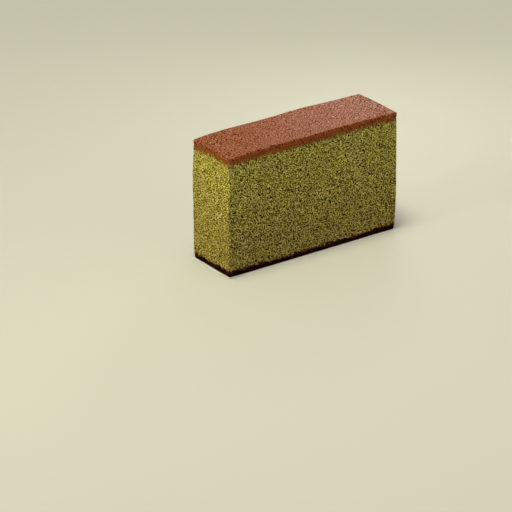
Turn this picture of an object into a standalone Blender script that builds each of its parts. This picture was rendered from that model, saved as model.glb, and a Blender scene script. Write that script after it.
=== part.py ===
"""A cut slice of green-tea castella, the tall Japanese sponge cake, on its strip of baking paper.

Metres, +Z up. The origin is the middle of the paper's underside. X runs along the slice, Y through its
thickness, and the browned top looks up.
"""

import math

import bmesh
import bpy
from mathutils import Vector

# The whole piece, paper included.
LENGTH = 0.104
THICKNESS = 0.032
HEIGHT = 0.065

# The strip of baking paper, which stands a hair proud of the sponge's foot all round.
PAPER_THICKNESS = 0.0003
PAPER_PROUD = 0.00025
PAPER_CORNER = 0.0008
GAP = 0.0003
SLICE_FOOT = PAPER_THICKNESS + GAP

# The sponge: its two crusts, and the rounding of its cut edges, its top rim and its foot.
TOP_CRUST = 0.0024
BASE_CRUST = 0.0028
CUT_ROUND = 0.0007
RIM_ROUND = 0.0006
FOOT_ROUND = 0.0004
ROUND_STEPS = 3

# How the soft block leaves its box. The cut faces swell between the firm crusts, the ends by unequal
# shares: most at the corner towards -X and -Y, least at the corner towards +X and +Y.
END_BELLY = 0.0005
BELLY_LEAN_X = 0.35
BELLY_LEAN_Y = 0.4
SIDE_BELLY = 0.0004
# Both crusts stand out of the crumb or draw in a little, and the top sags towards its ends and corners.
CRUST_LIP = 0.00015
CRUST_GROOVE = 0.00015
GROOVE_HALF_WIDTH = 0.0007
FOOT_DRAW = 0.0002
TOP_SAG = 0.0005
CORNER_SAG = 0.0004
# Two crossing waves unsettle every face, a slow one and a quicker, shallower one.
WAVE_LENGTH = 0.046
WAVE_DEPTH = 0.00016
RIPPLE_LENGTH = 0.017
RIPPLE_DEPTH = 0.00008

# The foot, which the bellies of both ends and both long faces overhang.
FOOT_LENGTH = LENGTH - 2 * END_BELLY * (1 + BELLY_LEAN_Y)
FOOT_THICKNESS = THICKNESS - 2 * SIDE_BELLY

# The facets' spacing over the faces, and the rows of facets in each crust.
FACET = 0.0032
CRUST_ROWS = 3

TOP_CRUST_COLOUR = (0.352, 0.110, 0.053, 1.0)
CRUMB_COLOUR = (0.270, 0.212, 0.045, 1.0)
BASE_CRUST_COLOUR = (0.050, 0.021, 0.008, 1.0)
PAPER_COLOUR = (0.640, 0.500, 0.410, 1.0)


def clear_scene():
    for old in list(bpy.data.objects):
        bpy.data.objects.remove(old, do_unlink=True)


def material(name, colour, roughness):
    """A plain, non-metallic finish."""
    made = bpy.data.materials.new(name)
    made.use_nodes = True
    shader = made.node_tree.nodes["Principled BSDF"]
    shader.inputs["Base Color"].default_value = colour
    shader.inputs["Roughness"].default_value = roughness
    shader.inputs["Metallic"].default_value = 0.0
    return made


def add_object(name, block, materials):
    """Turns a bmesh into a named object, shaded smooth but for its sharp edges."""
    bmesh.ops.recalc_face_normals(block, faces=block.faces)
    mesh = bpy.data.meshes.new(name)
    block.to_mesh(mesh)
    block.free()
    for each in materials:
        mesh.materials.append(each)
    mesh.shade_smooth()
    mesh.set_sharp_from_angle(angle=math.radians(40))
    made = bpy.data.objects.new(name, mesh)
    bpy.context.scene.collection.objects.link(made)
    return made


def smooth_step(start, end, value):
    """0 before start, 1 after end, and an S-curve between."""
    t = min(max((value - start) / (end - start), 0.0), 1.0)
    return t * t * (3.0 - 2.0 * t)


def even_stops(start, end, spacing):
    """Evenly spaced stops from start to end, no further apart than spacing."""
    count = max(1, math.ceil((end - start) / spacing - 1e-6))
    return [start + (end - start) * i / count for i in range(count + 1)]


def plain_block(length, thickness, low, high):
    """A box standing on the level low, centred on the Z axis."""
    block = bmesh.new()
    bmesh.ops.create_cube(block, size=1.0)
    for vertex in block.verts:
        vertex.co.x *= length
        vertex.co.y *= thickness
        vertex.co.z = low + (vertex.co.z + 0.5) * (high - low)
    return block


def round_edges(block, width, chosen):
    """Bevels the edges for which chosen(one end, the other end) is true."""
    edges = [edge for edge in block.edges if chosen(edge.verts[0].co, edge.verts[1].co)]
    bmesh.ops.bevel(
        block, geom=edges, offset=width, segments=ROUND_STEPS, profile=0.5, affect="EDGES"
    )


def upright(one, other):
    return abs(one.z - other.z) > 1e-6


def at_level(level):
    """A test for edges that lie at this height."""
    return lambda one, other: abs(one.z - level) < 1e-6 and abs(other.z - level) < 1e-6


def score(block, stops, normal):
    """Cuts every face along the planes at stops, which lie across the given unit normal."""
    for stop in stops:
        everything = block.verts[:] + block.edges[:] + block.faces[:]
        bmesh.ops.bisect_plane(
            block, geom=everything, plane_co=normal * stop, plane_no=normal, dist=1e-6
        )


def side_levels():
    """The heights of the scores round the sides: base crust, crumb, groove and top crust."""
    base_top = SLICE_FOOT + BASE_CRUST
    crust_foot = HEIGHT - TOP_CRUST
    groove_foot = crust_foot - 2 * GROOVE_HALF_WIDTH
    levels = even_stops(SLICE_FOOT + FOOT_ROUND, base_top, BASE_CRUST / CRUST_ROWS)[1:]
    levels += even_stops(base_top, groove_foot, FACET)[1:]
    levels += even_stops(groove_foot, crust_foot, GROOVE_HALF_WIDTH)[1:]
    levels += even_stops(crust_foot, HEIGHT - RIM_ROUND, TOP_CRUST / CRUST_ROWS)[1:-1]
    return levels


def side_growth(z):
    """How far the two crusts and the groove stand out of a plain upright side, at height z."""
    crust_foot = HEIGHT - TOP_CRUST
    lip = CRUST_LIP * smooth_step(crust_foot - GROOVE_HALF_WIDTH, crust_foot + GROOVE_HALF_WIDTH, z)
    from_groove = (z - crust_foot + GROOVE_HALF_WIDTH) / GROOVE_HALF_WIDTH
    groove = CRUST_GROOVE * math.exp(-from_groove * from_groove)
    drawn_in = FOOT_DRAW * (1.0 - smooth_step(SLICE_FOOT, SLICE_FOOT + 2 * BASE_CRUST, z))
    return lip - groove - drawn_in


def unevenness(a, b, phase):
    """The height of the two crossing waves at a point a, b of a face."""
    turn = 2.0 * math.pi
    slow = math.sin(turn * a / WAVE_LENGTH + phase) * math.cos(turn * b / WAVE_LENGTH - 2.0 * phase)
    leaning = turn * (0.8 * a + 0.6 * b) / RIPPLE_LENGTH
    crossing = turn * (0.6 * a - 0.8 * b) / RIPPLE_LENGTH
    quick = math.sin(leaning + 3.0 * phase) * math.cos(crossing - phase)
    return WAVE_DEPTH * slow + RIPPLE_DEPTH * quick


def softened(point):
    """The place on the real slice of a point of the plain block.

    Each level of the block grows about its middle, by a belly that is a parabola from foot to top and by
    the crusts' outline. The top sags with the cube of the distance from the middle, and more at the
    corners. The waves are strongest at the faces and fade out at the foot.
    """
    up = (point.z - SLICE_FOOT) / (HEIGHT - SLICE_FOOT)
    along = 2.0 * point.x / LENGTH
    across = 2.0 * point.y / THICKNESS
    belly = 4.0 * up * (1.0 - up)
    outline = side_growth(point.z)
    fade = smooth_step(SLICE_FOOT, SLICE_FOOT + 2 * BASE_CRUST, point.z)
    end_wave = fade * unevenness(point.y, point.z, 1.0 + 0.9 * along)
    side_wave = fade * unevenness(point.x, point.z, 2.0 + 0.9 * across)
    top_wave = up**6 * unevenness(point.x, point.y, 3.0)
    lean = (1.0 - BELLY_LEAN_X * along) * (1.0 - BELLY_LEAN_Y * across)
    grow_x = END_BELLY * belly * lean + outline + end_wave
    grow_y = SIDE_BELLY * belly + outline + side_wave
    sag = up**6 * (TOP_SAG * abs(along) ** 3 + CORNER_SAG * along**12 * across**2)
    return Vector((point.x + along * grow_x, point.y + across * grow_y, point.z - sag + top_wave))


def fit_to_box(block, low, high):
    """Stretches the block by the last fraction of a millimetre, so that it fills its box exactly."""
    for i in range(3):
        places = [vertex.co[i] for vertex in block.verts]
        least = min(places)
        stretch = (high[i] - low[i]) / (max(places) - least)
        for vertex in block.verts:
            vertex.co[i] = low[i] + (vertex.co[i] - least) * stretch


def castella_slice():
    """The sponge in one piece, its crusts told apart by their colour and by the outline of its sides."""
    block = plain_block(FOOT_LENGTH, FOOT_THICKNESS, SLICE_FOOT, HEIGHT)
    round_edges(block, CUT_ROUND, upright)
    round_edges(block, RIM_ROUND, at_level(HEIGHT))
    round_edges(block, FOOT_ROUND, at_level(SLICE_FOOT))

    inner_x = FOOT_LENGTH / 2 - CUT_ROUND
    inner_y = FOOT_THICKNESS / 2 - CUT_ROUND
    score(block, even_stops(-inner_x, inner_x, FACET)[1:-1], Vector((1, 0, 0)))
    score(block, even_stops(-inner_y, inner_y, FACET)[1:-1], Vector((0, 1, 0)))
    score(block, side_levels(), Vector((0, 0, 1)))

    for face in block.faces:
        height = face.calc_center_median().z
        if height > HEIGHT - TOP_CRUST:
            face.material_index = 0
        elif height > SLICE_FOOT + BASE_CRUST:
            face.material_index = 1
        else:
            face.material_index = 2
    for vertex in block.verts:
        vertex.co = softened(vertex.co)
    fit_to_box(
        block,
        (-LENGTH / 2, -THICKNESS / 2, SLICE_FOOT),
        (LENGTH / 2, THICKNESS / 2, HEIGHT),
    )
    finishes = [
        material("top_crust", TOP_CRUST_COLOUR, 0.5),
        material("crumb", CRUMB_COLOUR, 0.9),
        material("base_crust", BASE_CRUST_COLOUR, 0.55),
    ]
    return add_object("castella_slice", block, finishes)


def base_paper():
    """The strip of baking paper under the slice, cut with it and flat on whatever it stands on."""
    length = FOOT_LENGTH + 2 * PAPER_PROUD
    thickness = FOOT_THICKNESS + 2 * PAPER_PROUD
    sheet = plain_block(length, thickness, 0.0, PAPER_THICKNESS)
    round_edges(sheet, PAPER_CORNER, upright)
    return add_object("base_paper", sheet, [material("baking_paper", PAPER_COLOUR, 0.8)])


clear_scene()
castella_slice()
base_paper()
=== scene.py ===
# %% [markdown]
# # A slice of green-tea castella
# Castella is a tall Japanese sponge cake. This slice has three layers: a thin browned skin on top, a fine
# olive-green crumb, and a dark, sticky crust at the foot, which still stands on the strip of baking paper
# that it was cut with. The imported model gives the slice's box and the paper's. Everything here is made
# inside those two boxes, so nothing has to be fitted afterwards.

# %% The frame
import itertools
import math

import bpy
import numpy as np
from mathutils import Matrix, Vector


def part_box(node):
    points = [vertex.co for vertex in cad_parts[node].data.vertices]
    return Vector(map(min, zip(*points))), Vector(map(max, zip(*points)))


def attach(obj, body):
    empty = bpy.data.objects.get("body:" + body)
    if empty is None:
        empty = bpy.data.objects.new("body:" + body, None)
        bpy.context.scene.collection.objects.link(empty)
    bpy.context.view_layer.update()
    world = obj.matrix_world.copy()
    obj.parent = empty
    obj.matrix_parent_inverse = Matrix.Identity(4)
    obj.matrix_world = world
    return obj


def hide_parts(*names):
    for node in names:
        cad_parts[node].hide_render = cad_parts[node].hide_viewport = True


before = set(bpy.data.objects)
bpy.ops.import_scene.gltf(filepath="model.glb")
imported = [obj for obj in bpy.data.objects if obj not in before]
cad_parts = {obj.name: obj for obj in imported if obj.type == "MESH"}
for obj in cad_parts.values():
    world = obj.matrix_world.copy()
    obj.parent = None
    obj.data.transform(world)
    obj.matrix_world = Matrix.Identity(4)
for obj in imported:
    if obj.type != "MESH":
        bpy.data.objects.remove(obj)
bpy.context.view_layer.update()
slice_low, slice_high = (np.array(corner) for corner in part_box("castella_slice"))
paper_low, paper_high = (np.array(corner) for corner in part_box("base_paper"))
print("slice, mm:", np.round((slice_high - slice_low) * 1000, 2))
print("paper, mm:", np.round((paper_high - paper_low) * 1000, 2))

# %% [markdown]
# ## The camera and the studio
# A small thing on a menu is shot from far away with a long lens, which keeps its edges nearly parallel.
# The camera stands up and to the left of the slice, so that the narrow end and one long face show. Four
# softboxes light it. A wide one high above gives the top its brightness and the floor its soft shadow. A
# small warm one, low and far to the left, makes the narrow end the brightest face. A honeycomb grid keeps
# it off the rest of the floor, and it gives no glints. A weak one close behind the far end shines in the
# glazed top, and a broad one in front lifts the long face. A sun lamp would need less setting up, but its
# hard shadows would blacken every pore.

# %% The camera
AZIMUTH = math.radians(-35.63)
ELEVATION = math.radians(24.57)
DISTANCE = 1.758
AIM = np.array([-0.0174, 0.0092, -0.0057])
LENS_MM = 246.0
SENSOR_MM = 36.0

flat_reach = math.cos(ELEVATION)
towards_camera = np.array(
    [math.sin(AZIMUTH) * flat_reach, -math.cos(AZIMUTH) * flat_reach, math.sin(ELEVATION)]
)

camera = bpy.data.objects.new("camera", bpy.data.cameras.new("camera"))
bpy.context.scene.collection.objects.link(camera)
camera.data.lens = LENS_MM
camera.data.sensor_width = SENSOR_MM
camera.data.clip_end = 20.0
camera.location = AIM + DISTANCE * towards_camera
camera.rotation_euler = (math.pi / 2 - ELEVATION, 0.0, AZIMUTH)
bpy.context.scene.camera = camera
print("camera, m:", np.round(AIM + DISTANCE * towards_camera, 3))

# %% Lights
WORLD_COLOUR = (0.86, 0.87, 0.84, 1.0)
WORLD_STRENGTH = 0.42
KEY_COLOUR = (1.0, 0.985, 0.88)
SIDE_COLOUR = (1.0, 0.975, 0.53)
SIDE_SPREAD = math.radians(40.0)


def softbox(name, place, target, size, watts, colour=(1.0, 1.0, 1.0)):
    """A rectangular light at one place, turned to shine on another."""
    light = bpy.data.lights.new(name, "AREA")
    light.shape = "RECTANGLE"
    light.size, light.size_y = size
    light.energy = watts
    light.color = colour
    holder = bpy.data.objects.new(name, light)
    bpy.context.scene.collection.objects.link(holder)
    away = np.array(place) - np.array(target)
    holder.location = place
    turn = math.atan2(away[0], -away[1])
    lean = math.acos(away[2] / np.linalg.norm(away))
    holder.rotation_euler = (lean, 0.0, turn)
    print(f"{name}: {watts} W, {np.linalg.norm(away):.2f} m away")
    return holder


softbox("key", (-0.22, -0.08, 1.33), (0.0, 0.0, 0.04), (0.45, 0.45), 16.8, KEY_COLOUR)
side = softbox("side", (-0.90, -0.012, 0.16), (0.0, -0.012, 0.035), (0.10, 0.10), 0.17, SIDE_COLOUR)
side.data.spread = SIDE_SPREAD
side.visible_glossy = False
softbox("sheen", (0.165, 0.155, 0.152), (0.052, 0.0, 0.065), (0.08, 0.06), 0.10)
softbox("fill", (0.6, -1.1, 0.6), (0.0, 0.0, 0.03), (1.0, 0.8), 1.3)

world = bpy.data.worlds.new("studio")
bpy.context.scene.world = world
world.use_nodes = True
world.node_tree.nodes["Background"].inputs["Color"].default_value = WORLD_COLOUR
world.node_tree.nodes["Background"].inputs["Strength"].default_value = WORLD_STRENGTH
bpy.context.scene.view_settings.view_transform = "Standard"

# %% [markdown]
# ## The form of the slice
# A block of sponge cut with a long knife is nearly a box, but no face of it is flat. Between the two firm
# crusts the crumb swells, the top sags a little at its ends, and slow waves cross every face. Sculpting
# could do this, but not in the same way for every piece. Instead, one function carries each point of a
# plain box to its place on the slice, so that pieces which meet in the box also meet on the slice. The
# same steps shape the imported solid, so the two agree.

# %% Driving sizes, in metres
TOP_CRUST = 0.0024
BASE_CRUST = 0.0028
CUT_ROUND = 0.0007
RIM_ROUND = 0.0006
FOOT_ROUND = 0.0004
END_BELLY = 0.0005
BELLY_LEAN_X = 0.35
BELLY_LEAN_Y = 0.4
SIDE_BELLY = 0.0004
CRUST_LIP = 0.00015
CRUST_GROOVE = 0.00015
GROOVE_HALF_WIDTH = 0.0007
FOOT_DRAW = 0.0002
TOP_SAG = 0.0005
CORNER_SAG = 0.0004
WAVE_LENGTH = 0.046
WAVE_DEPTH = 0.00016
RIPPLE_LENGTH = 0.017
RIPPLE_DEPTH = 0.00008

length, thickness, _ = slice_high - slice_low
foot = paper_high[2]
top = slice_high[2]
half_x = length / 2 - END_BELLY * (1 + BELLY_LEAN_Y)
half_y = thickness / 2 - SIDE_BELLY
base_top = slice_low[2] + BASE_CRUST
crust_foot = top - TOP_CRUST
print("levels, mm:", np.round(np.array([foot, base_top, crust_foot, top]) * 1000, 2))


# %% From the box to the slice
def smooth_step(start, end, value):
    """0 before start, 1 after end, and the S-curve 3t^2 - 2t^3 between."""
    t = np.clip((value - start) / (end - start), 0.0, 1.0)
    return t * t * (3.0 - 2.0 * t)


def rounded(points):
    """Points of the sharp box moved onto one with rounded edges, and the way out of it at each.

    A point is first clamped to a smaller box, which is the larger one less its radii. The step from there
    to the point is scaled by the radii, brought to length one and scaled back, which makes a quarter of
    an ellipse of every edge and leaves flat faces as they are.
    """
    radii = np.broadcast_to([CUT_ROUND, CUT_ROUND, RIM_ROUND], points.shape).copy()
    radii[points[:, 2] < (foot + top) / 2, 2] = FOOT_ROUND
    inner_low = np.array([-half_x + CUT_ROUND, -half_y + CUT_ROUND, foot + FOOT_ROUND])
    inner_high = np.array([half_x - CUT_ROUND, half_y - CUT_ROUND, top - RIM_ROUND])
    inner = np.clip(points, inner_low, inner_high)
    step = (points - inner) / radii
    step /= np.maximum(np.linalg.norm(step, axis=1, keepdims=True), 1e-9)
    outward = step / radii
    outward /= np.maximum(np.linalg.norm(outward, axis=1, keepdims=True), 1e-9)
    return inner + step * radii, outward


def side_growth(z):
    """The outline of the crusts and of the groove below the upper one, as a distance out of the side."""
    lip = CRUST_LIP * smooth_step(crust_foot - GROOVE_HALF_WIDTH, crust_foot + GROOVE_HALF_WIDTH, z)
    from_groove = (z - crust_foot + GROOVE_HALF_WIDTH) / GROOVE_HALF_WIDTH
    drawn_in = FOOT_DRAW * (1.0 - smooth_step(foot, foot + 2 * BASE_CRUST, z))
    return lip - CRUST_GROOVE * np.exp(-(from_groove**2)) - drawn_in


def unevenness(a, b, phase):
    """Two crossing waves over a face: sin(a) cos(b) at a long wavelength, and at a short one, turned."""
    turn = 2.0 * math.pi
    slow = np.sin(turn * a / WAVE_LENGTH + phase) * np.cos(turn * b / WAVE_LENGTH - 2.0 * phase)
    leaning = turn * (0.8 * a + 0.6 * b) / RIPPLE_LENGTH
    crossing = turn * (0.6 * a - 0.8 * b) / RIPPLE_LENGTH
    return WAVE_DEPTH * slow + RIPPLE_DEPTH * np.sin(leaning + 3.0 * phase) * np.cos(crossing - phase)


def softened(points):
    """Each level grows about its middle by a belly, 4u(1 - u) of the height u, and by the crusts' outline.

    The top sags with the cube of the distance from the middle and more at the corners, and the waves are
    strongest at the faces.
    """
    x, y, z = points.T
    up = (z - foot) / (top - foot)
    along = x / (length / 2)
    across = y / (thickness / 2)
    belly = 4.0 * up * (1.0 - up)
    fade = smooth_step(foot, foot + 2 * BASE_CRUST, z)
    lean = (1.0 - BELLY_LEAN_X * along) * (1.0 - BELLY_LEAN_Y * across)
    outline = side_growth(z)
    grow_x = END_BELLY * belly * lean + outline + fade * unevenness(y, z, 1.0 + 0.9 * along)
    grow_y = SIDE_BELLY * belly + outline + fade * unevenness(x, z, 2.0 + 0.9 * across)
    sag = TOP_SAG * np.abs(along) ** 3 + CORNER_SAG * along**12 * across**2
    lift = up**6 * (unevenness(x, y, 3.0) - sag)
    return np.stack([x + along * grow_x, y + across * grow_y, z + lift], axis=1)


corner, _ = rounded(np.array([[-half_x, -half_y, top]]))
print("near top corner of the box, mm:", np.round(corner * 1000, 2))
print("and of the slice, mm:", np.round(softened(corner) * 1000, 2))

# %% [markdown]
# ## Surfaces from a lattice
# A subdivided cube with bevelled edges would do for a plain block, but its vertices come in no useful
# order. A box-shaped lattice has six sheets of points, each a plain grid. Any of them can be taken as a
# surface, and where two of them meet they share their points, so a skin that goes round a corner has no
# seam. Every skin is closed by a fan of faces from its rim to one point deep in the sponge, which makes it
# a solid that nobody sees the back of.

# %% Sheets of a lattice
SIDES = {"left": (0, 0), "right": (0, 1), "front": (1, 0), "back": (1, 1), "under": (2, 0), "top": (2, 1)}


def stops(start, end, spacing):
    """Even stops from start to end, about this far apart."""
    return np.linspace(start, end, 1 + max(1, round((end - start) / spacing)))


def sheet(counts, side):
    """One side's points as index triples, its faces counter-clockwise from outside, and each u, v."""
    axis, last = SIDES[side]
    b, c = (axis + 1) % 3, (axis + 2) % 3
    i, j = np.meshgrid(np.arange(counts[b]), np.arange(counts[c]), indexing="ij")
    triples = np.zeros(i.shape + (3,), np.int64)
    triples[..., axis] = last * (counts[axis] - 1)
    triples[..., b] = i
    triples[..., c] = j
    number = np.arange(i.size).reshape(i.shape)
    corners = [number[:-1, :-1], number[1:, :-1], number[1:, 1:], number[:-1, 1:]]
    faces = np.stack(corners, axis=-1).reshape(-1, 4)
    uv = np.stack([i / (counts[b] - 1), j / (counts[c] - 1)], axis=-1)
    return triples.reshape(-1, 3), faces if last else faces[:, ::-1], uv.reshape(-1, 2)


def skin(xs, ys, zs, places):
    """The sides named in places as one surface: box points, faces, and the u, v of every face corner.

    places gives each side its rectangle (u0, v0, u1, v1) of the map. Points are merged by index triple.
    """
    counts = (len(xs), len(ys), len(zs))
    triples, faces, corner_uv, offset = [], [], [], 0
    for side, (u0, v0, u1, v1) in places.items():
        own, quads, uv = sheet(counts, side)
        triples.append(own)
        faces.append(quads + offset)
        corner_uv.append(((u0, v0) + uv * (u1 - u0, v1 - v0))[quads])
        offset += len(own)
    triples = np.concatenate(triples)
    keys = (triples[:, 0] * counts[1] + triples[:, 1]) * counts[2] + triples[:, 2]
    _, first, merged = np.unique(keys, return_index=True, return_inverse=True)
    i, j, k = triples[first].T
    points = np.stack([xs[i], ys[j], zs[k]], axis=1)
    return points, merged.reshape(-1)[np.concatenate(faces)], np.concatenate(corner_uv)


def fan(faces, hub):
    """Triangles from every open edge of the faces to the point numbered hub."""
    edges = np.concatenate([faces[:, [0, 1]], faces[:, [1, 2]], faces[:, [2, 3]], faces[:, [3, 0]]])
    forward = edges[:, 0] * (hub + 1) + edges[:, 1]
    backward = edges[:, 1] * (hub + 1) + edges[:, 0]
    rim = edges[~np.isin(forward, backward)]
    return np.stack([rim[:, 1], rim[:, 0], np.full(len(rim), hub)], axis=1)


two_cells = [stops(0.0, 1.0, 0.5)] * 3
corners, quads, _ = skin(*two_cells, {side: (0, 0, 1, 1) for side in SIDES})
print("the skin of 2 x 2 x 2 cells:", len(corners), "points,", len(quads), "faces")

# %% A mesh from arrays
HIDDEN_PATCH = 0.02


def mesh_piece(name, points, faces, corner_uv, hidden, numbers):
    """A smooth-shaded mesh of four-cornered faces, closed by flat hidden triangles.

    Its map for baking is named OFBake. The hidden faces share a small patch in its corner. numbers are
    named values at the points, which the materials read.
    """
    mesh = bpy.data.meshes.new(name)
    corners = np.concatenate([faces.ravel(), hidden.ravel()]).astype(np.int32)
    starts = np.concatenate([np.arange(len(faces)) * 4, faces.size + np.arange(len(hidden)) * 3])
    mesh.vertices.add(len(points))
    mesh.vertices.foreach_set("co", points.astype(np.float32).ravel())
    mesh.loops.add(len(corners))
    mesh.loops.foreach_set("vertex_index", corners)
    mesh.polygons.add(len(starts))
    mesh.polygons.foreach_set("loop_start", starts.astype(np.int32))
    mesh.update(calc_edges=True)
    flat = mesh.attributes.new("sharp_face", "BOOLEAN", "FACE")
    flat.data.foreach_set("value", np.arange(len(starts)) >= len(faces))
    patch = np.tile([(0.0, 0.0), (HIDDEN_PATCH, 0.0), (0.0, HIDDEN_PATCH)], (len(hidden), 1))
    baking = mesh.uv_layers.new(name="OFBake")
    every_corner = np.concatenate([corner_uv.reshape(-1, 2), patch])
    baking.uv.foreach_set("vector", every_corner.astype(np.float32).ravel())
    for key, values in numbers.items():
        attribute = mesh.attributes.new(key, "FLOAT", "POINT")
        attribute.data.foreach_set("value", values.astype(np.float32))
    made = bpy.data.objects.new(name, mesh)
    bpy.context.scene.collection.objects.link(made)
    print(f"{name}: {2 * len(faces) + len(hidden)} triangles")
    return made


# %% [markdown]
# ## The crumb
# A sponge is batter blown full of bubbles, and a knife opens the ones that it meets. So the relief of a
# cut face isn't noise: it is the plane of the cut less the bubbles that cross it. Each cell of a lattice in
# space holds one bubble at a chance place with a chance radius. Where a point of the face lies inside a
# bubble, the pit there is as deep as the bubble reaches behind it. Bubbles of two sizes are combined, the
# crumb's own weight has left them a little flatter than wide, and space is bent before they are looked up,
# so that no pit is a perfect circle. A bump map could darken the pores as well, but it would leave the
# outline of the slice as smooth as glass.

# %% Chance numbers that are the same each run
LARGEST = 0xFFFFFFFF
CELL_PRIMES = np.array([73856093, 19349663, 83492791])
SALT_PRIME = 2654435761
FIRST_MIXER = np.uint32(0x7FEB352D)
SECOND_MIXER = np.uint32(0x846CA68B)


def chance(cells, salt, count):
    """Numbers from 0 to 1 for each cell: its indices and the salt, mixed by shifts and products."""
    mixed = cells.astype(np.int64) @ CELL_PRIMES + salt * SALT_PRIME
    mixed = (mixed & LARGEST).astype(np.uint32)
    found = []
    for _ in range(count):
        mixed = (mixed ^ (mixed >> np.uint32(16))) * FIRST_MIXER
        mixed = (mixed ^ (mixed >> np.uint32(15))) * SECOND_MIXER
        mixed = mixed ^ (mixed >> np.uint32(16))
        found.append(mixed / (LARGEST + 1.0))
    return np.stack(found, axis=1)


def soft_noise(points, size, salt):
    """Three smooth chance fields from -1 to 1.

    Each blends chance values at the corners of cells of this size, with the S-curve 3t^2 - 2t^3 of the
    place between them as the share.
    """
    scaled = points / size
    cell = np.floor(scaled).astype(np.int64)
    share = scaled - cell
    share = share * share * (3.0 - 2.0 * share)
    total = np.zeros(points.shape)
    for corner in itertools.product((0, 1), repeat=3):
        weight = np.prod(np.where(corner, share, 1.0 - share), axis=1, keepdims=True)
        total += weight * (2.0 * chance(cell + corner, salt, 3) - 1.0)
    return total


def stirred(points, fields):
    """The sum of soft noises, each given by its reach, the size of its features and its salt."""
    return sum(reach * soft_noise(points, size, salt) for reach, size, salt in fields)


print("a cell's chance numbers:", chance(np.array([[1, 2, 3]]), 11, 5).round(3))

# %% The bubbles that a cut opens
FLATNESS = np.array([1.0, 1.0, 1.22])


def opened_bubbles(points, outward, size, radii, share, jitter, salt):
    """What the cut opens of a foam: how deep the pits are, and how far off their rims are.

    For a bubble of radius r, t is how far the point lies in front of its centre along the way out, and q
    how far it is to the side. The cut makes a circle of it whose radius c is the square root of
    r^2 - t^2. Inside, where q is less than c, the pit is as deep as the bubble reaches behind the point,
    t + s with s the square root of r^2 - q^2. The second result is the least q - c of all the bubbles:
    the distance to the nearest pore's rim, negative inside it. Space is stretched by FLATNESS first,
    which leaves the bubbles that much lower than wide.

    A whole number of cells of about this size fits the slice each way, and they are centred on its faces,
    so that every cut goes through the middle of its bubbles. jitter is the part of its cell in which a
    bubble's centre may lie, and share the part of the cells that hold one.
    """
    deepest = np.zeros(len(points))
    nearest = np.full(len(points), size)
    corner = np.array([-half_x, -half_y, foot])
    span = np.array([half_x, half_y, top]) - corner
    pitch = span / np.round(span * FLATNESS / size)
    home = np.round((points - corner) / pitch).astype(np.int64)
    for step in itertools.product((-1, 0, 1), repeat=3):
        cells = home + step
        lots = chance(cells, salt, 5)
        centres = corner + (cells + jitter * (lots[:, :3] - 0.5)) * pitch
        radius = radii[0] + (radii[1] - radii[0]) * lots[:, 3]
        away = (points - centres) * FLATNESS
        front = np.einsum("ij,ij->i", away, outward)
        aside = np.sqrt(np.maximum(np.einsum("ij,ij->i", away, away) - front**2, 0.0))
        circle = np.sqrt(np.maximum(radius**2 - front**2, 0.0))
        met = (circle > 0.0) & (lots[:, 4] < share)
        depth = front + np.sqrt(np.maximum(radius**2 - aside**2, 0.0))
        deepest = np.maximum(deepest, np.where(met & (aside < circle), depth, 0.0))
        nearest = np.minimum(nearest, np.where(met, aside - circle, size))
    return deepest, nearest


# %% The relief of the cut faces
GRAIN = 0.0002
DEEPEST = 0.0009
FINE = {"size": 0.00088, "radii": (0.00032, 0.00044), "share": 1.0, "jitter": 0.65, "salt": 11}
LARGE = {"size": 0.0016, "radii": (0.00035, 0.00052), "share": 0.5, "jitter": 0.8, "salt": 12}
BENDS = [(0.00028, 0.0011, 31), (0.00014, 0.0005, 32)]
TOP_STAIN = (-0.0036, 0.0004)
BASE_STAIN = (-0.0012, 0.0012)
RAGGED = [(0.0008, 0.0022, 21), (0.0009, 0.0009, 22)]


def crust_shares(points):
    """How much each point belongs to the top crust and to the base crust, 0 to 1.

    The crumb browns over a few millimetres on its way into a crust, and the border is ragged. The two
    STAIN pairs say where that starts and ends, seen from the crust's own border.
    """
    z = points[:, 2] + stirred(points, RAGGED)[:, 0]
    upper = smooth_step(crust_foot + TOP_STAIN[0], crust_foot + TOP_STAIN[1], z)
    lower = 1.0 - smooth_step(base_top + BASE_STAIN[0], base_top + BASE_STAIN[1], z)
    return upper, lower


def crumb_relief(points, outward):
    """The pits and walls of a cut face: the deepest and the nearest of both sizes of bubble.

    A pit of depth d is drawn as D(1 - exp(-d / D)), which never gets deeper than D.
    """
    bent = points + stirred(points, BENDS)
    foams = [opened_bubbles(bent, outward, **bubbles) for bubbles in (FINE, LARGE)]
    depth = np.max([foam[0] for foam in foams], axis=0)
    return DEEPEST * (1.0 - np.exp(-depth / DEEPEST)), np.min([foam[1] for foam in foams], axis=0)


ends = np.array([[-half_x, -half_y, foot + top], [half_x, -half_y, foot + top]]) * (1.0, 1.0, 0.5)
along_cut = np.linspace(*ends, 500)
pits, walls = crumb_relief(along_cut, np.broadcast_to([0.0, -1.0, 0.0], along_cut.shape))
print(f"along a cut: {(walls < 0.0).mean():.0%} open, the deepest pit {pits.max() * 1000:.2f} mm")

# %% The relief of the crusts
SKIN_GRAIN = 0.00008
SKIN_BUMPS = [(0.3, 0.0015, 51), (0.2, 0.0007, 52)]
SKIN_PORE = 0.00025
TOP_SHALLOWNESS = 0.4
FACING_UP = 0.7
BAND_PORES = {"size": 0.0015, "radii": (0.00014, 0.0003), "share": 0.5, "jitter": 0.8, "salt": 41}
TOP_PORES = {"size": 0.0021, "radii": (0.00014, 0.0003), "share": 0.45, "jitter": 0.8, "salt": 42}


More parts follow.
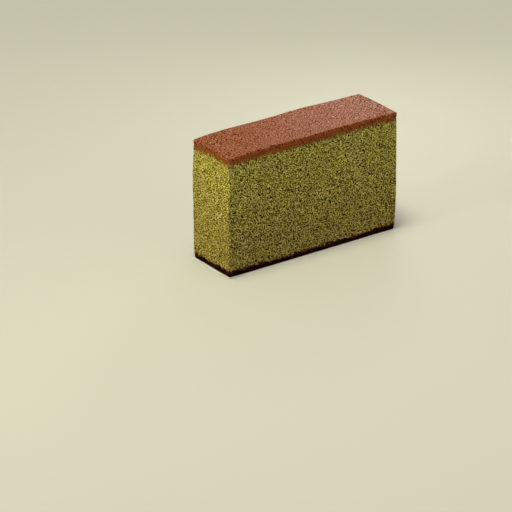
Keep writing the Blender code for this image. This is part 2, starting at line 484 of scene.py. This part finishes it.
def skin_relief(points, outward):
    """A crust's grain, which is soft bumps, and the few bubbles that burst in it: depth and walls."""
    bumps = 0.5 + stirred(points, SKIN_BUMPS)[:, 0]
    facing_up = outward[:, 2] > FACING_UP
    on_top, top_wall = opened_bubbles(points, outward, **TOP_PORES)
    in_band, band_wall = opened_bubbles(points, outward, **BAND_PORES)
    pores = np.minimum(np.where(facing_up, TOP_SHALLOWNESS * on_top, in_band), SKIN_PORE)
    return SKIN_GRAIN * bumps + pores, np.where(facing_up, top_wall, band_wall)


def relief(points, outward, crust):
    """The crumb's depth and walls, going over to the crust's where most of a point belongs to a crust."""
    pairs = zip(crumb_relief(points, outward), skin_relief(points, outward))
    share = smooth_step(0.5, 1.0, crust)
    return [(1.0 - share) * of_crumb + share * of_skin for of_crumb, of_skin in pairs]


# %% The whole form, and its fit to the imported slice
def form(points):
    """Box points carried to the slice, and the way out at each."""
    around, outward = rounded(points)
    return softened(around), outward


COARSE = 0.0016
rough_axes = [stops(-half_x, half_x, COARSE), stops(-half_y, half_y, COARSE), stops(foot, top, COARSE)]
rough, _, _ = skin(*rough_axes, {side: (0, 0, 1, 1) for side in SIDES})
rough, _ = form(rough)
form_low, form_high = rough.min(axis=0), rough.max(axis=0)
room_low = np.array([slice_low[0], slice_low[1], foot])


def fitted(points):
    """The last fraction of a millimetre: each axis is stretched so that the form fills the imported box."""
    return room_low + (points - form_low) * (slice_high - room_low) / (form_high - form_low)


print("form before the fit, mm:", np.round((form_high - form_low) * 1000, 3))

# %% Stops of the lattice
xs = stops(-half_x, half_x, GRAIN)
ys = stops(-half_y, half_y, GRAIN)
crumb_zs = stops(base_top, crust_foot, GRAIN)
ONE_SHEET = (0.025, 0.005, 0.995, 0.995)
SKIN_DRAG = 0.0009
GLAZE_FOOT = 0.0010
GLAZE_HEAD = 0.0005
print("stops along, across and up the crumb:", len(xs), len(ys), len(crumb_zs))


def sponge_piece(name, xs, ys, zs, places, hub):
    """Sides of a lattice carried to the slice, pitted, and closed through one point deep inside.

    The mesh remembers how far each point is from a pore's rim in millimetres, how browned it is by each
    crust, and where the glazed skin is. The knife has drawn that down a little over the left end.
    """
    points, faces, uv = skin(xs, ys, zs, places)
    place, outward = form(points)
    upper, lower = crust_shares(points)
    pit, wall = relief(points, outward, np.maximum(upper, lower))
    place = np.vstack([fitted(place) - outward * pit[:, None], hub])
    drawn_down = SKIN_DRAG * np.maximum(-outward[:, 0], 0.0)
    glaze = smooth_step(top - GLAZE_FOOT, top - GLAZE_HEAD, points[:, 2] + drawn_down)
    numbers = {"wall": 1000.0 * wall, "top_brown": upper, "base_brown": lower, "glaze": glaze}
    numbers = {key: np.append(values, 0.0) for key, values in numbers.items()}
    return mesh_piece(name, place, faces, uv, fan(faces, len(points)), numbers)


# %% The four cut faces, the long ones in two halves
middle = len(xs) // 2
heart = (base_top + crust_foot) / 2
crumb_pieces = []
for half, part in (("left", xs[: middle + 1]), ("right", xs[middle:])):
    hub = (part.mean(), 0.0, heart)
    for face in ("front", "back"):
        name = f"crumb_{face}_{half}"
        crumb_pieces.append(sponge_piece(name, part, ys, crumb_zs, {face: ONE_SHEET}, hub))
for end in ("left", "right"):
    name = f"crumb_{end}_end"
    crumb_pieces.append(sponge_piece(name, xs, ys, crumb_zs, {end: ONE_SHEET}, (0.0, 0.0, heart)))

# %% [markdown]
# ## The two crusts
# The top is a skin about two millimetres thick, grained like leather, with a few burst bubbles. At the cut
# it shows as a dense band with hardly a pore. The base crust is denser still, dark and a little sticky. A
# slab laid on the crumb would show a seam at the rim. So each crust is a skin of the same lattice, the top
# sheet or the foot with the four bands that go round the sides, and shares its edge with the cut faces.

# %% The crusts' surfaces
BROAD_SHEET = (0.025, 0.25, 0.995, 0.995)
BANDS = {
    "front": (0.13, 0.03, 0.995, 0.07),
    "back": (0.13, 0.08, 0.995, 0.12),
    "left": (0.025, 0.13, 0.5, 0.17),
    "right": (0.52, 0.13, 0.995, 0.17),
}
HUB_INSET = 0.001
BASE_GRAIN = 1.25 * GRAIN
top_zs = stops(crust_foot, top, GRAIN)
base_zs = stops(foot, base_top, BASE_GRAIN)
top_hub = (0.0, 0.0, crust_foot - HUB_INSET)
base_hub = (0.0, 0.0, base_top + HUB_INSET)
top_crust = sponge_piece("top_crust", xs, ys, top_zs, {"top": BROAD_SHEET, **BANDS}, top_hub)
base_crust = sponge_piece("base_crust", xs, ys, base_zs, {"under": BROAD_SHEET, **BANDS}, base_hub)

# %% [markdown]
# ## The baking paper
# The paper sticks to the base crust and is cut with it, so it shows as a thin pale edge. It is never quite
# flat there: moisture has cockled it, and the knife has lifted it a little in places. A plane with a
# Solidify modifier would do for the sheet. The lattice's box gives the same with the rim ready to be bent.

# %% The paper's surface
PAPER_GRAIN = 0.0004
PAPER_EDGE_GRAIN = 0.00015
WANDER = 0.0001
WANDER_SIZE = 0.006
CURL = 0.00022
CURL_WIDTH = 0.0016
CORNER_LIFT = 1.6
CORNER_REACH = 0.007
PAPER_MAP = {
    "top": (0.025, 0.5, 0.995, 0.995),
    "under": (0.025, 0.06, 0.995, 0.48),
    "front": (0.03, 0.03, 0.48, 0.04),
    "back": (0.5, 0.03, 0.98, 0.04),
    "left": (0.03, 0.045, 0.48, 0.055),
    "right": (0.5, 0.045, 0.98, 0.055),
}


def paper_strip():
    """A thin box whose rim lifts by a slow wave and whose outline wanders by a tenth of a millimetre."""
    wide, deep = paper_high[0], paper_high[1]
    across = stops(-wide, wide, PAPER_GRAIN), stops(-deep, deep, PAPER_GRAIN)
    points, faces, uv = skin(*across, stops(0.0, foot, PAPER_EDGE_GRAIN), PAPER_MAP)
    x, y, z = points.T
    rim = np.minimum(wide - np.abs(x), deep - np.abs(y))
    wander = soft_noise(points * (1, 1, 0), WANDER_SIZE, 61)
    corner = np.exp(-((x + wide) ** 2 + (y + deep) ** 2) / CORNER_REACH**2)
    lifted = smooth_step(0.0, 1.0, wander[:, 0]) + CORNER_LIFT * corner
    lift = CURL * lifted * (1.0 - smooth_step(0.0, CURL_WIDTH, rim))
    out = WANDER * wander[:, 1] * (1.0 - smooth_step(0.0, CURL_WIDTH, rim))
    out_x = np.sign(x) * out * (np.abs(x) > wide - CURL_WIDTH)
    out_y = np.sign(y) * out * (np.abs(y) > deep - CURL_WIDTH)
    place = np.stack([x + out_x, y + out_y, z + lift], axis=1)
    numbers = {"rim": rim / CURL_WIDTH}
    return mesh_piece("paper_strip", place, faces, uv, np.zeros((0, 3), np.int64), numbers)


paper = paper_strip()

# %% [markdown]
# ## Shader maths in plain Python
# A material is a graph of nodes. It could be drawn by hand in the editor, but a long sum is easier to read
# as a Python expression: Number wraps a socket, and an operator on it adds one Math node.


# %% A socket that can be reckoned with
class Number:
    """A number carried by a shader socket."""

    def __init__(self, paint, socket):
        self.paint = paint
        self.socket = socket

    def reckon(self, operation, *others):
        return self.paint.node("ShaderNodeMath", {"operation": operation}, (self, *others))

    def __add__(self, other):
        return self.reckon("ADD", other)

    __radd__ = __add__

    def __mul__(self, other):
        return self.reckon("MULTIPLY", other)

    __rmul__ = __mul__

    def __sub__(self, other):
        return self.reckon("SUBTRACT", other)

    def __rsub__(self, other):
        return self.paint.node("ShaderNodeMath", {"operation": "SUBTRACT"}, (other, self))

    def most(self, other):
        """The larger of two numbers."""
        return self.reckon("MAXIMUM", other)

    def ramp(self, start, end):
        """0 at start, 1 at end, and a smooth rise between."""
        values = {"Value": self, "From Min": start, "From Max": end}
        return self.paint.node("ShaderNodeMapRange", {"interpolation_type": "SMOOTHSTEP"}, values)


COAT_ROUGHNESS = 0.5


class Paint:
    """A material under construction, with one method that adds any node."""

    def __init__(self, name):
        self.material = bpy.data.materials.new(name)
        self.material.use_nodes = True
        self.tree = self.material.node_tree
        self.shader = self.tree.nodes["Principled BSDF"]

    def link(self, socket, value):
        if isinstance(value, Number):
            self.tree.links.new(value.socket, socket)
        else:
            socket.default_value = value

    def node(self, kind, settings, values, output=0):
        """Adds a node: settings are its properties, values its sockets by place or by name."""
        made = self.tree.nodes.new(kind)
        for key, value in settings.items():
            setattr(made, key, value)
        pairs = values.items() if isinstance(values, dict) else enumerate(values)
        for key, value in pairs:
            self.link(made.inputs[key], value)
        return Number(self, made.outputs[output])

    def place(self, stretch=(1.0, 1.0, 1.0)):
        """The point in the piece's own metres, its axes multiplied by stretch."""
        point = self.node("ShaderNodeTexCoord", {}, {}, "Object")
        return self.node("ShaderNodeVectorMath", {"operation": "MULTIPLY"}, (point, stretch))

    def up(self, low, high):
        """0 at the height low, 1 at the height high."""
        z = self.node("ShaderNodeSeparateXYZ", {}, (self.place(),), "Z")
        return z.ramp(low, high)

    def attribute(self, name):
        return self.node("ShaderNodeAttribute", {"attribute_name": name}, {}, "Fac")

    def noise(self, size, detail=2.0, rough=0.55):
        """Fractal noise whose features are about this large, in metres, from 0 to 1."""
        values = {"Vector": self.place(), "Scale": 1.0 / size, "Detail": detail, "Roughness": rough}
        return self.node("ShaderNodeTexNoise", {}, values, "Fac")

    def spots(self, size, stretch=(1.0, 1.0, 1.0)):
        """The distance to the nearest of scattered points, in cells of this size."""
        values = {"Vector": self.place(stretch), "Scale": 1.0 / size}
        return self.node("ShaderNodeTexVoronoi", {"feature": "F1"}, values, "Distance")

    def dots(self, size, full, gone, stretch=(1.0, 1.0, 1.0)):
        """1 up to the distance full from scattered points, 0 from gone on, in cells of this size."""
        return 1.0 - self.spots(size, stretch).ramp(full, gone)

    def mix(self, share, one, other):
        """One colour, going over to the other by the share."""
        values = {0: share, 6: one, 7: other}
        return self.node("ShaderNodeMix", {"data_type": "RGBA"}, values, 2)

    def tint(self, colour, other):
        """Two colours multiplied channel by channel."""
        return self.node("ShaderNodeVectorMath", {"operation": "MULTIPLY"}, (colour, other))

    def bump(self, height, distance):
        values = {"Height": height, "Distance": distance}
        return self.node("ShaderNodeBump", {}, values, "Normal")

    def finish(self, colour, roughness, normal=None, specular=0.5, coat=0.0):
        """Sets or links the shader's own sockets, which ends the material."""
        values = {
            "Base Color": colour,
            "Roughness": roughness,
            "Specular IOR Level": specular,
            "Coat Weight": coat,
            "Coat Roughness": COAT_ROUGHNESS,
        }
        if normal is not None:
            values["Normal"] = normal
        for key, value in values.items():
            self.link(self.shader.inputs[key], value)
        print(f"{self.material.name}: {len(self.tree.nodes)} nodes")
        return self.material


def srgb(red, green, blue):
    """A colour from its display values, 0 to 255, as the light that they stand for."""
    share = np.array([red, green, blue]) / 255.0
    light = np.where(share <= 0.04045, share / 12.92, ((share + 0.055) / 1.055) ** 2.4)
    return (*light.tolist(), 1.0)


# %% [markdown]
# ## The finishes of the sponge
# One recipe paints all three layers, because they run into each other: the crumb browns under the crust
# with a ragged border. The mesh carries how far each point is from the nearest pore's rim, how browned it
# is and where the glazed skin lies. From the rim inwards the pores are painted near black, which is
# painted shade, and the crumb is painted lighter towards the top and darker at the foot, which is
# painted light. The nodes add what is finer than the mesh: specks in the walls, tiny pores, the pebbled
# grain of the skin, and a slow drift of the green. The glaze is a clear coat that lies on the ridges of
# the grain alone, so the sheen breaks up into fine points.

# %% Colours of the sponge
CRUMB_SHADE = (0.093, 0.069, 0.001, 1.0)
CRUMB_PALE = (0.71, 0.592, 0.162, 1.0)
# Painted shade: near black deep in a pore, standing for the shade that falls in it.
CRUMB_PIT_SHADE = (0.010, 0.0060, 0.0001, 1.0)
# Painted light: the crumb goes from the first tint at the foot to the second at the top, lighter above.
FOOT_SHADE_TINT = (1.02, 0.94, 0.98, 1.0)
HEAD_LIGHT_TINT = (1.32, 1.36, 1.18, 1.0)
DRIFT_BROWN = (0.99, 0.965, 1.12, 1.0)
DRIFT_GREEN = (1.01, 1.035, 0.87, 1.0)
TOP_SKIN = (0.222, 0.054, 0.009, 1.0)
TOP_SKIN_PALE = (0.340, 0.098, 0.026, 1.0)
TOP_SKIN_DARK = (0.085, 0.0155, 0.003, 1.0)
FLECK = (0.531, 0.312, 0.2, 1.0)
TOP_BAND = (0.42, 0.104, 0.028, 1.0)
TOP_BAND_DARK = (0.147, 0.0333, 0.008, 1.0)
UNDER_TOP = (0.287, 0.127, 0.0347, 1.0)
# Painted shade: the dark pores of the browned crumb under the top crust.
UNDER_TOP_PIT_SHADE = (0.0733, 0.03, 0.00533, 1.0)
UNDER_BROWN = (0.086, 0.026, 0.005, 1.0)
BASE_SKIN = (0.0533, 0.00933, 0.00133, 1.0)
BASE_SKIN_DARK = (0.00667, 0.00107, 0.000267, 1.0)

# %% Sponge
SPECK_SIZE = 0.0004
TINY_PORE_SIZES = (0.00095, 0.0006)
DRIFT_SIZE = 0.006
PEBBLE_SIZE = 0.0007
MOTTLE_SIZE = 0.0045
FLECK_SIZE = 0.0024
FLECK_STRETCH = (1.0, 0.6, 1.0)
# A pore is painted dark as shade from this far inside its rim to just outside it, in millimetres.
PIT_SHADE_RIM_MM = (-0.155, 0.07)
MOTTLING = 0.3
PEBBLE_HEIGHT = 2.5
GLAZE = 0.8


def sponge(name, roughness, specular, bump):
    """The finish of one layer, which holds the colours of all three. bump is the height of its grain."""
    paint = Paint(name)
    top_brown = paint.attribute("top_brown")
    base_brown = paint.attribute("base_brown")
    glaze = paint.attribute("glaze")

    speck = paint.noise(SPECK_SIZE, 1.0, 0.5).ramp(0.38, 0.62)
    tiny = paint.dots(TINY_PORE_SIZES[0], 0.2, 0.42).most(paint.dots(TINY_PORE_SIZES[1], 0.2, 0.4))
    # Painted shade: dark inside each pore's rim, whatever the light.
    pit_shade = 1.0 - paint.attribute("wall").ramp(*PIT_SHADE_RIM_MM)
    drift = paint.noise(DRIFT_SIZE, 2.0)
    # Painted light: lighter towards the top and darker at the foot, times the slow drift of the green.
    light_and_drift = paint.mix(paint.up(base_top, crust_foot), FOOT_SHADE_TINT, HEAD_LIGHT_TINT)
    light_and_drift = paint.tint(light_and_drift, paint.mix(drift.ramp(0.35, 0.65), DRIFT_BROWN, DRIFT_GREEN))
    wall = paint.tint(paint.mix(speck, CRUMB_SHADE, CRUMB_PALE), light_and_drift)
    green = paint.mix(pit_shade, wall, CRUMB_PIT_SHADE)

    grain = 1.0 - paint.spots(PEBBLE_SIZE)
    mottle = paint.noise(MOTTLE_SIZE, 3.0, 0.6).ramp(0.35, 0.75)
    fleck = paint.dots(FLECK_SIZE, 0.08, 0.18, FLECK_STRETCH)
    tone = grain.ramp(0.30, 0.64)
    ridge = grain.ramp(0.38, 0.56)
    skin = paint.mix(tone, TOP_SKIN_DARK, TOP_SKIN_PALE)
    skin = paint.mix(1.0 - mottle * MOTTLING, TOP_SKIN, skin)
    skin = paint.mix(fleck, skin, FLECK)
    band = paint.mix(tone, TOP_BAND_DARK, TOP_BAND)
    top = paint.mix(glaze, band, skin)
    # The browned crumb under the top, its pores painted dark as shade.
    under = paint.mix(pit_shade, UNDER_TOP, UNDER_TOP_PIT_SHADE)
    base = paint.mix(tone * mottle, BASE_SKIN_DARK, BASE_SKIN)

    colour = paint.mix(top_brown.ramp(0.0, 0.6), green, under)
    colour = paint.mix(top_brown.ramp(0.4, 1.0), colour, top)
    colour = paint.mix(base_brown.ramp(0.0, 0.6), colour, UNDER_BROWN)
    colour = paint.mix(base_brown.ramp(0.4, 1.0), colour, base)
    rough_height = speck - tiny
    height = rough_height + glaze * (grain * PEBBLE_HEIGHT - rough_height)
    return paint.finish(colour, roughness, paint.bump(height, bump), specular, GLAZE * glaze * ridge)


crumb_finish = sponge("crumb", roughness=0.84, specular=0.03, bump=0.00015)
top_finish = sponge("top_crust", roughness=0.9, specular=0.05, bump=0.0002)
base_finish = sponge("base_crust", roughness=0.6, specular=0.01, bump=0.00015)

# %% [markdown]
# ## The finish of the paper
# Baking paper is pale and a little waxy. Where the sponge's juices reached it, it has gone brown, and only
# its outermost edge stays light. The stain could be painted by hand on the sheet's map. Here it follows
# the distance from the rim, which the mesh carries, so that it goes round every corner.

# %% Paper
PAPER_CLEAN = srgb(209, 206, 201)
PAPER_SOAKED = srgb(146, 123, 101)
FIBRE_SIZE = 0.0006
FIBRE_HEIGHT = 0.00005
BLOTCH_SIZE = 0.006


def parchment():
    """Fibres in the roughness and the bump, and a blotched stain that starts a little way in."""
    paint = Paint("baking_paper")
    fibres = paint.noise(FIBRE_SIZE, 3.0, 0.6)
    blotch = paint.noise(BLOTCH_SIZE, 2.0).ramp(0.35, 0.7)
    juice = paint.attribute("rim").ramp(0.15, 0.6) * (0.5 + 0.5 * blotch)
    colour = paint.mix(juice, PAPER_CLEAN, PAPER_SOAKED)
    return paint.finish(colour, 0.55 + fibres * 0.2, paint.bump(fibres, FIBRE_HEIGHT))


paper_finish = parchment()

# %% Finishes go on, and every piece takes its place
for piece in crumb_pieces:
    piece.data.materials.append(crumb_finish)
    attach(piece, "root")
    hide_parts("castella_slice")

for piece, finish, slot in (
    (top_crust, top_finish, "top_crust"),
    (base_crust, base_finish, "base_crust"),
):
    piece.data.materials.append(finish)
    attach(piece, "root")
    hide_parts("castella_slice")

paper.data.materials.append(paper_finish)
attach(paper, "root")
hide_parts("base_paper")
print("pieces of crumb:", len(crumb_pieces), "- others:", top_crust.name, base_crust.name, paper.name)

# %% [markdown]
# ## The floor
# A plain pale surface, wide enough to fill the view. One square does it, a hair below the paper so that
# the two never lie in the same plane.

# %% Floor
FLOOR_HALF = 6.0
FLOOR_LEVEL = -0.00002
FLOOR_COLOUR = srgb(189, 186, 170)
FLOOR_ROUGHNESS = 0.7

square = FLOOR_HALF * np.array([(-1, -1, 0), (1, -1, 0), (1, 1, 0), (-1, 1, 0)]) + (0, 0, FLOOR_LEVEL)
floor_mesh = bpy.data.meshes.new("floor")
floor_mesh.from_pydata(square.tolist(), [], [(0, 1, 2, 3)])
floor_mesh.materials.append(Paint("floor").finish(FLOOR_COLOUR, FLOOR_ROUGHNESS))
floor = bpy.data.objects.new("floor", floor_mesh)
bpy.context.scene.collection.objects.link(floor)
